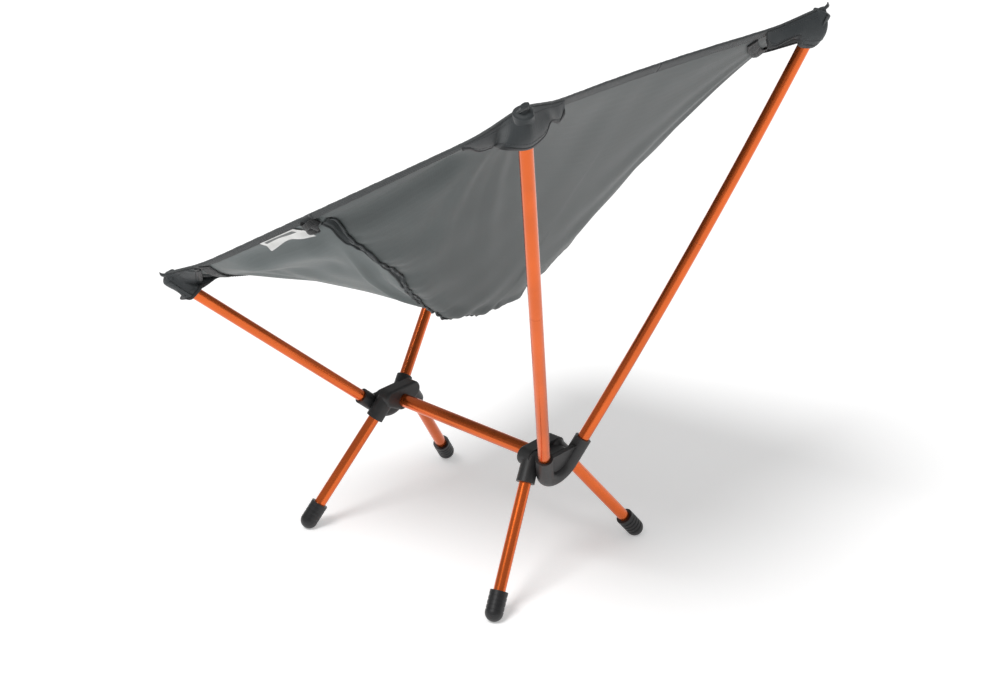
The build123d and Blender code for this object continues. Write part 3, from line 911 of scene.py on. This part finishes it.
def seam_anchor(side, sign):
    """The gathered webbing knot where the cross seam meets the side edge."""
    turns = []
    base_u, base_v = 0.978, SEAM_V - 0.022
    for k, (du, dv, size) in enumerate(((-0.024, -0.004, 0.0070), (0.004, 0.006, 0.0085),
                                        (-0.010, 0.018, 0.0065))):
        centre = cloth(base_u + du, base_v + dv, 0.0042)
        up = outwards(base_u + du, base_v + dv)
        along = unit(plain_sling(base_u, base_v + 0.02) - plain_sling(base_u, base_v - 0.02))
        along = unit(along + 0.5 * (k - 1) * np.cross(up, along))
        turns.append((centre, up, along, size))
    for k, (centre, up, along, size) in enumerate(turns):
        wide = np.cross(up, along)
        loop = []
        for n in range(25):
            turn = 2 * math.pi * n / 24
            loop.append(centre + along * math.cos(turn) * size + up * math.sin(turn) * 0.0032
                        + wide * 0.0010 * math.sin(2 * turn))
        loop = np.array(loop)
        tangent = unit(np.gradient(loop, axis=0))
        flat_up = unit(np.cross(tangent, np.repeat([wide], 25, 0)))
        piece = sweep(f"seam_anchor_loop_{k + 1}_{side}", mirror(loop, sign),
                      mirror(np.repeat([wide], 25, 0), sign), mirror(flat_up, sign),
                      oval(0.0075, 0.0016), black_webbing)
        if k == 0:
            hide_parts(f"seam_anchor_{side}")
        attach(piece, "frame")


def care_label():
    """A blank folded satin label sewn in beside the left edge, with curled corners."""
    rows, columns = 40, 30
    along = np.linspace(0, 1, rows)[:, None]
    down = np.linspace(0, 1, columns)[None]
    v = 0.283 + 0.104 * along + (0.006 + 0.024 * along) * down
    u = 0.984 - (0.040 + 0.016 * along) * down * (1 - 0.22 * np.sin(np.pi * along))
    curl = 0.004 * smooth(down, 0.45, 1.0) * (0.35 + 0.65 * np.abs(2 * along - 1) ** 1.6)
    wave = 0.0016 * np.sin(2 * math.pi * (along * 1.4 + 0.2)) * down
    normal = outwards(u, v)
    points = plain_sling(u, v) + normal * (relief(u, v) + 0.0022 + curl + wave)[..., None]
    normals = grid_normals(points)
    if normals[20, 15] @ normal[20, 15] < 0:
        normals = -normals
    uvs = np.stack(np.broadcast_arrays(down * 0.03, along * 0.06), -1)
    piece = two_layer("care_label_cloth", points, normals, label_cloth, 0.0004, uvs)
    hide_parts("care_label")
    follow_corner(piece)
    band = slice(3, 10)
    strip = two_layer("care_label_band", points[4:-4, band] + normals[4:-4, band] * 0.0004,
                      normals[4:-4, band], label_band, 0.0003, uvs[4:-4, band])
    follow_corner(strip)


# ---- the stage --------------------------------------------------------------------------------
def floor():
    """A pale studio floor that lifts its own shadows a little."""
    bpy.ops.mesh.primitive_plane_add(size=60, location=(0, 0, 0))
    plane = bpy.context.object
    plane.name = "studio_floor"
    n = Nodes("studio_floor")
    n.set(Base_Color=(0.93, 0.93, 0.93, 1), Roughness=0.9, Specular_IOR_Level=0.1)
    n.set(Emission_Color=(1, 1, 1, 1), Emission_Strength=0.34)
    plane.data.materials.append(n.material)


def lights():
    """Soft light from all around, and one broad key light."""
    world = bpy.data.worlds.new("studio")
    world.use_nodes = True
    world.node_tree.nodes["Background"].inputs["Color"].default_value = (1, 1, 1, 1)
    world.node_tree.nodes["Background"].inputs["Strength"].default_value = 0.36
    bpy.context.scene.world = world
    sun = bpy.data.lights.new("key", "SUN")
    sun.energy = 1.75
    sun.angle = math.radians(24)
    lamp = bpy.data.objects.new("key", sun)
    lamp.rotation_mode = "QUATERNION"
    lamp.rotation_quaternion = Vector((-0.33, 0.03, -0.60)).to_track_quat("-Z", "Y")
    bpy.context.scene.collection.objects.link(lamp)


def camera():
    """The camera stands behind the chair's left rear corner, a little above it."""
    azimuth, elevation = math.radians(131.97), math.radians(23.98)
    data = bpy.data.cameras.new("camera")
    data.lens = 65.36
    data.sensor_width = 36.0
    data.clip_end = 200
    cam = bpy.data.objects.new("camera", data)
    cam.location = (1.3236, 1.20145, 1.0479)
    back = Vector((math.sin(azimuth) * math.cos(elevation), -math.cos(azimuth) * math.cos(elevation),
                   math.sin(elevation)))
    roll = Matrix.Rotation(math.radians(-0.35), 4, "Z")
    cam.matrix_world = Matrix.Translation(cam.location) @ (-back).to_track_quat(
        "-Z", "Y").to_matrix().to_4x4() @ roll
    bpy.context.scene.collection.objects.link(cam)
    bpy.context.scene.camera = cam


camera()
floor()
lights()
bpy.context.scene.view_settings.view_transform = "Standard"
dress_frame()
panel("seat_cloth", np.zeros_like, seam_line, 90, seat_cloth, "seat_panel")
panel("back_cloth", seam_line, np.ones_like, 150, back_cloth, "back_panel")
seam_tape()
care_label()
for side, sign in sides():
    seam_anchor(side, sign)
    for corner in (FRONT, REAR):
        side_binding(corner, side, sign)
        corner_patch(corner, side, sign)
        pocket_sleeve(corner, side, sign)
        pull_tab(corner, side, sign)
        corner_webbing(corner, side, sign)
    end_binding(REAR, side, sign, "top_binding", 0.0125, 0.0030, "top_binding")
    end_binding(FRONT, side, sign, "front_hem", 0.0150, 0.0052, "front_hem")
